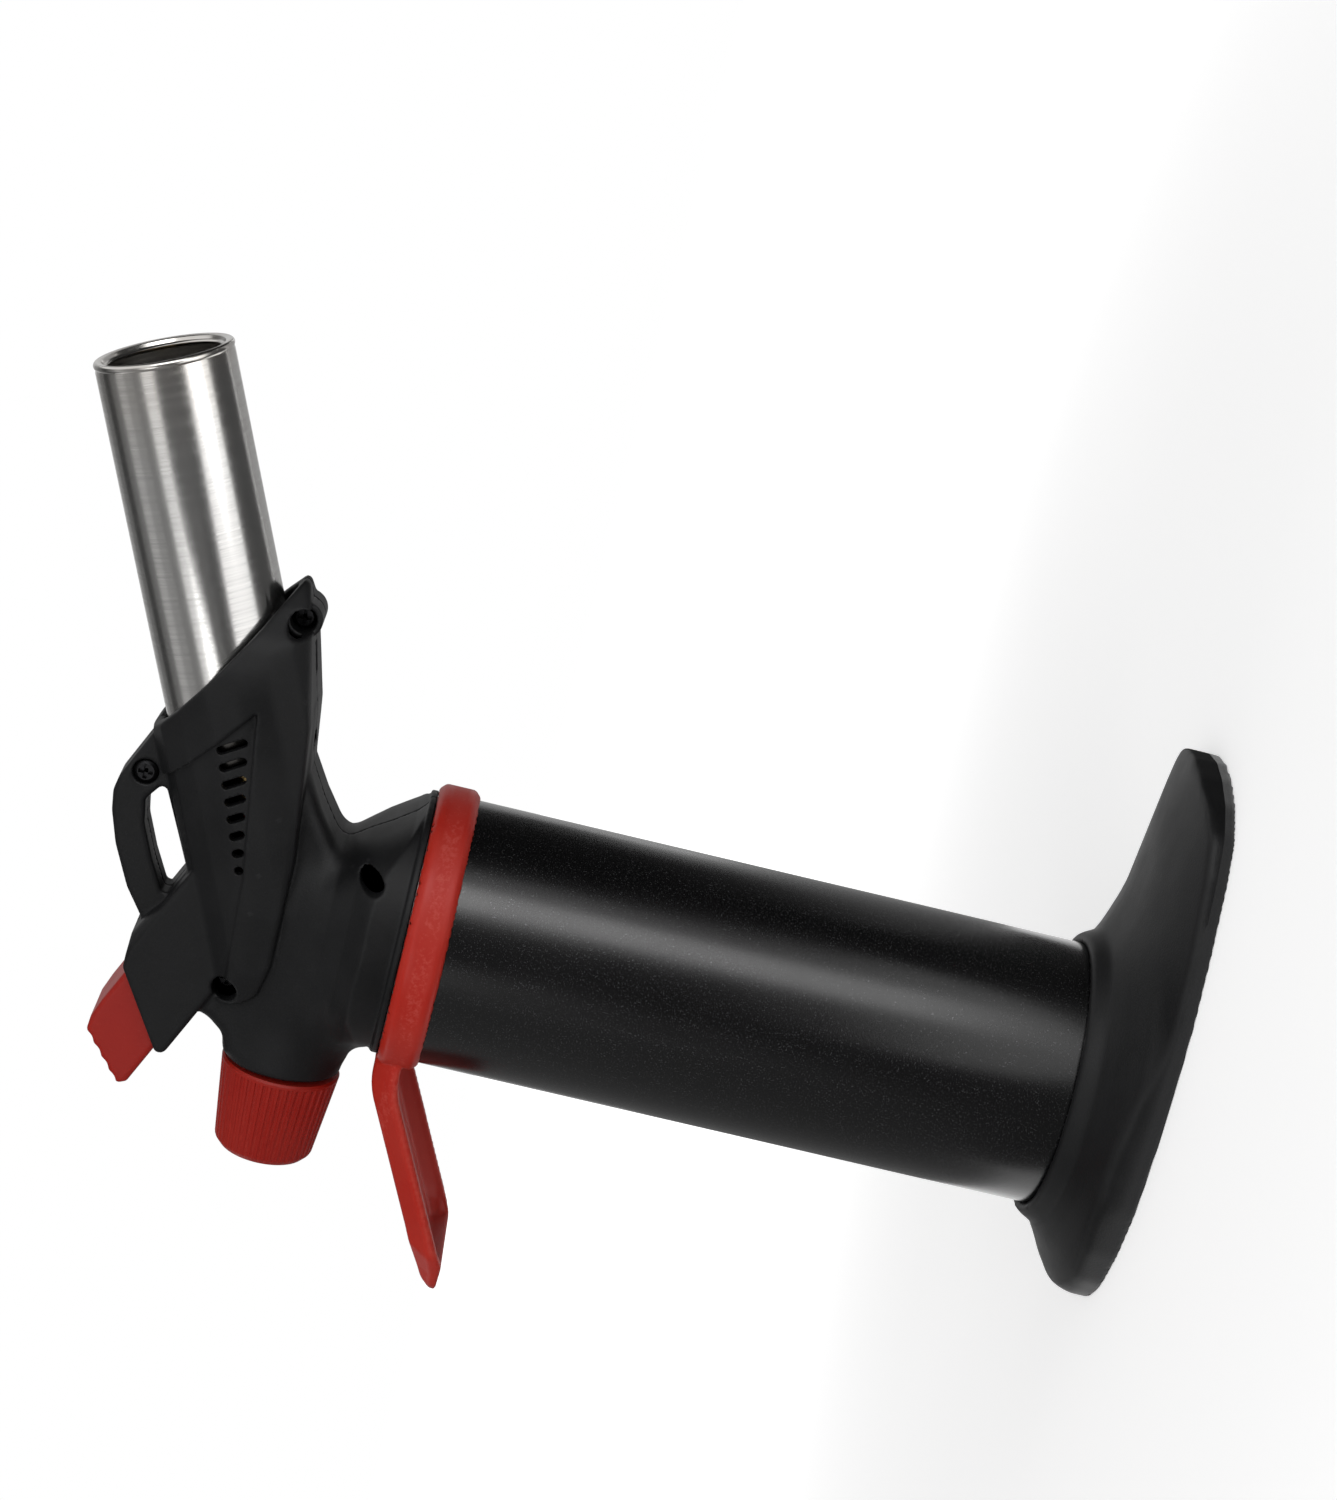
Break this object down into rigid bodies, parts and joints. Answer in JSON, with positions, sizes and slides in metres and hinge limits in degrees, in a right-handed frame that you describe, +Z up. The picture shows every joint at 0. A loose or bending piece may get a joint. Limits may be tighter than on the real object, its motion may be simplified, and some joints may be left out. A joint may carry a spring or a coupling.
{
  "type": "butane torch",
  "caption": "Hand-held butane torch that stands on its foot: fuel tank, angled steel burner, gas flow knob, hand rest, and a push trigger that opens the gas and strikes a piezo spark.",
  "frame": {"origin": "on the tank's axis, in the plane of the foot's underside", "axes": "+Z up the tank, +X towards the flame, +Y to the left of someone who looks along the flame; the housing halves part at y = 0"},
  "size_m": [0.17, 0.0736, 0.2164],
  "materials": {
    "black_plastic": "fine-grained moulded plastic",
    "black_sleeve": "satin black anodised",
    "red_plastic": "satin moulded plastic",
    "burner_steel": "turned and brushed round the tube",
    "screw_steel": "zinc-plated",
    "brass": "machined",
    "tank_metal": "drawn, plain",
    "seal_rubber": "plain",
    "piezo_shell": "smooth",
    "wire_cover": "smooth",
    "ceramic": "glazed",
    "stem_plastic": "smooth"
  },
  "bodies": {
    "torch": {"foot": "black_plastic", "foot_screws": "screw_steel", "tank_sleeve": "black_sleeve", "fuel_tank": "tank_metal", "tank_cap": "tank_metal", "tank_seal": "seal_rubber", "fill_valve_body": "brass", "fill_valve_spring": "screw_steel", "hand_rest": "red_plastic", "housing_left": "black_plastic", "housing_right": "black_plastic", "housing_screws": "screw_steel", "bridge_screw": "screw_steel", "valve_block": "brass", "block_seal": "seal_rubber", "gland_nut": "brass", "spindle_seal": "seal_rubber", "valve_spring": "screw_steel", "valve_cap": "brass", "lever_pin": "screw_steel", "piezo_body": "piezo_shell", "ignition_wire": "wire_cover", "gas_tube": "brass", "gas_jet": "brass", "mixing_tube": "brass", "burner_base": "brass", "flame_tube": "burner_steel", "flame_holder": "brass", "electrode": "screw_steel", "electrode_insulator": "ceramic"},
    "knob": {"flow_knob": "red_plastic", "gas_spindle": "screw_steel"},
    "trigger": {"trigger": "red_plastic", "piezo_plunger": "stem_plastic"},
    "lever": {"valve_lever": "screw_steel"},
    "gas_valve": {"valve_stem": "screw_steel"},
    "fill_valve": {"fill_valve_stem": "stem_plastic"}
  },
  "joints": [
    {"name": "knob_turn", "type": "hinge", "parent": "torch", "child": "knob", "pos_m": [0, 0, 0.1562], "axis": [-1, 0, 0], "range_deg": [0, 270]},
    {"name": "trigger_push", "type": "slide", "parent": "torch", "child": "trigger", "axis": [0.9063, 0, -0.4226], "range_m": [0, 0.0045], "stiffness_N_per_m": 2500},
    {"name": "lever_tilt", "type": "hinge", "parent": "torch", "child": "lever", "pos_m": [0.0042, 0, 0.1655], "axis": [0, 1, 0], "range_deg": [0, 27.41]},
    {"name": "gas_valve_lift", "type": "slide", "parent": "torch", "child": "gas_valve", "axis": [0, 0, 1], "range_m": [0, 0.002], "deforming": ["valve_spring"]},
    {"name": "fill_valve_push", "type": "slide", "parent": "torch", "child": "fill_valve", "axis": [0, 0, 1], "range_m": [0, 0.0015], "stiffness_N_per_m": 1500, "deforming": ["fill_valve_spring"]}
  ],
  "couplings": [
    {"joint": "lever_tilt", "follows": "trigger_push", "rad_per_m": 106.28},
    {"joint": "gas_valve_lift", "follows": "trigger_push", "ratio": 0.44444}
  ]
}
